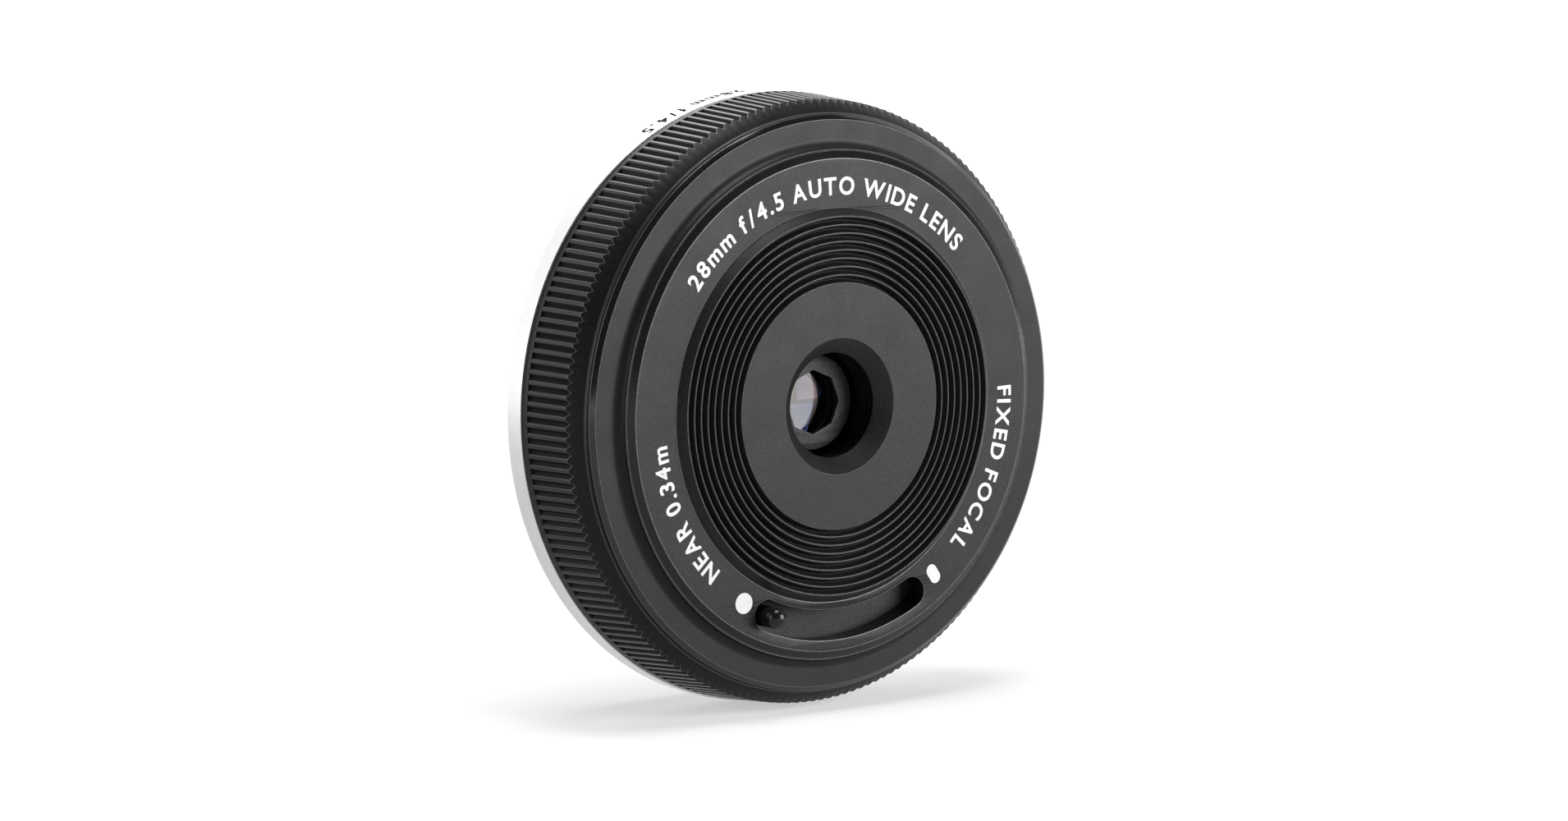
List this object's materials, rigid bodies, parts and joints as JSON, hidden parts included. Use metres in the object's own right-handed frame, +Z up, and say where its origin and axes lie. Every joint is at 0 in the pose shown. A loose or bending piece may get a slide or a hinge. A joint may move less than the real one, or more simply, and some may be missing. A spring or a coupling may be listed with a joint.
{
  "type": "prime camera lens",
  "caption": "Thin autofocus prime lens: knurled black barrel, ribbed front with a lever-opened cover over a small stop, silver rear ring, bayonet mount.",
  "frame": {"origin": "centre of the mount flange plane, on the optical axis", "axes": "+Y along the optical axis towards the camera, so the front faces -Y; +Z up as the lens stands on its barrel, with the cover lever at the bottom"},
  "size_m": [0.0604, 0.0212, 0.0604],
  "materials": {
    "black_anodised": "bead-blasted, black anodised",
    "black_plastic": "matt moulded black",
    "lever_black": "satin black",
    "silver_anodised": "satin silver anodised",
    "mount_steel": "fine turned, hard plated",
    "steel": "satin",
    "optical_glass": "polished, coated",
    "copper": "enamelled winding",
    "magnet": "nickel plated",
    "circuit_board": "solder mask",
    "film": "polyimide film",
    "gold": "gold plated",
    "red_enamel": "enamel",
    "marking_white": "printed marking"
  },
  "bodies": {
    "housing": {"bezel_ring": "black_anodised", "board_connector": "film", "cap_screw_1": "steel", "cap_screw_2": "steel", "cap_screw_3": "steel", "contact_block": "black_plastic", "contact_strip": "gold", "controller_chip": "black_plastic", "detent_spring": "steel", "drive_magnet_left": "magnet", "drive_magnet_right": "magnet", "flex_cable": "film", "front_cap": "black_anodised", "front_screw_1": "steel", "front_screw_2": "steel", "front_screw_3": "steel", "grip_barrel": "black_anodised", "guide_rod_lower": "steel", "guide_rod_upper": "steel", "index_dot": "red_enamel", "magnet_yoke_left": "steel", "magnet_yoke_right": "steel", "main_board": "circuit_board", "main_frame": "black_plastic", "mount_plate": "mount_steel", "mount_screw_1": "steel", "mount_screw_2": "steel", "mount_screw_3": "steel", "mount_screw_4": "steel", "name_ring": "black_anodised", "pivot_pin_lower": "steel", "pivot_pin_upper": "steel", "position_sensor": "film", "rear_baffle": "black_plastic", "rear_barrel": "silver_anodised", "rear_frame": "black_plastic", "shutter_plate": "black_plastic", "usb_socket": "steel"},
    "cover_lever": {"cover_ring": "black_plastic", "lever_pin": "lever_black"},
    "cover_blade_upper_body": {"cover_blade_upper": "black_plastic", "blade_pin_upper": "steel"},
    "cover_blade_lower_body": {"cover_blade_lower": "black_plastic", "blade_pin_lower": "steel"},
    "focus_group": {"focus_cell": "black_anodised", "aperture_plate": "black_anodised", "cell_retaining_ring": "black_anodised", "drive_coil_left": "copper", "drive_coil_right": "copper", "position_magnet": "magnet", "lens_element_1": "optical_glass", "lens_element_2": "optical_glass", "lens_element_3": "optical_glass", "lens_element_4": "optical_glass", "lens_element_5": "optical_glass", "lens_element_6": "optical_glass", "spacer_ring_1": "black_plastic", "spacer_ring_2": "black_plastic", "spacer_ring_3": "black_plastic", "spacer_ring_4": "black_plastic"}
  },
  "joints": [
    {"name": "cover_turn", "type": "hinge", "parent": "housing", "child": "cover_lever", "pos_m": [0, 0, 0], "axis": [0, -1, 0], "range_deg": [0, 49.5]},
    {"name": "blade_upper_swing", "type": "hinge", "parent": "housing", "child": "cover_blade_upper_body", "pos_m": [0.015, 0, 0], "axis": [0, -1, 0], "range_deg": [0, 22]},
    {"name": "blade_lower_swing", "type": "hinge", "parent": "housing", "child": "cover_blade_lower_body", "pos_m": [-0.015, 0, 0], "axis": [0, -1, 0], "range_deg": [0, 22]},
    {"name": "focus_slide", "type": "slide", "parent": "housing", "child": "focus_group", "axis": [0, -1, 0], "range_m": [-0.0007, 0.0021]}
  ],
  "couplings": [
    {"joint": "blade_upper_swing", "follows": "cover_turn", "ratio": 0.44444},
    {"joint": "blade_lower_swing", "follows": "cover_turn", "ratio": 0.44444}
  ]
}
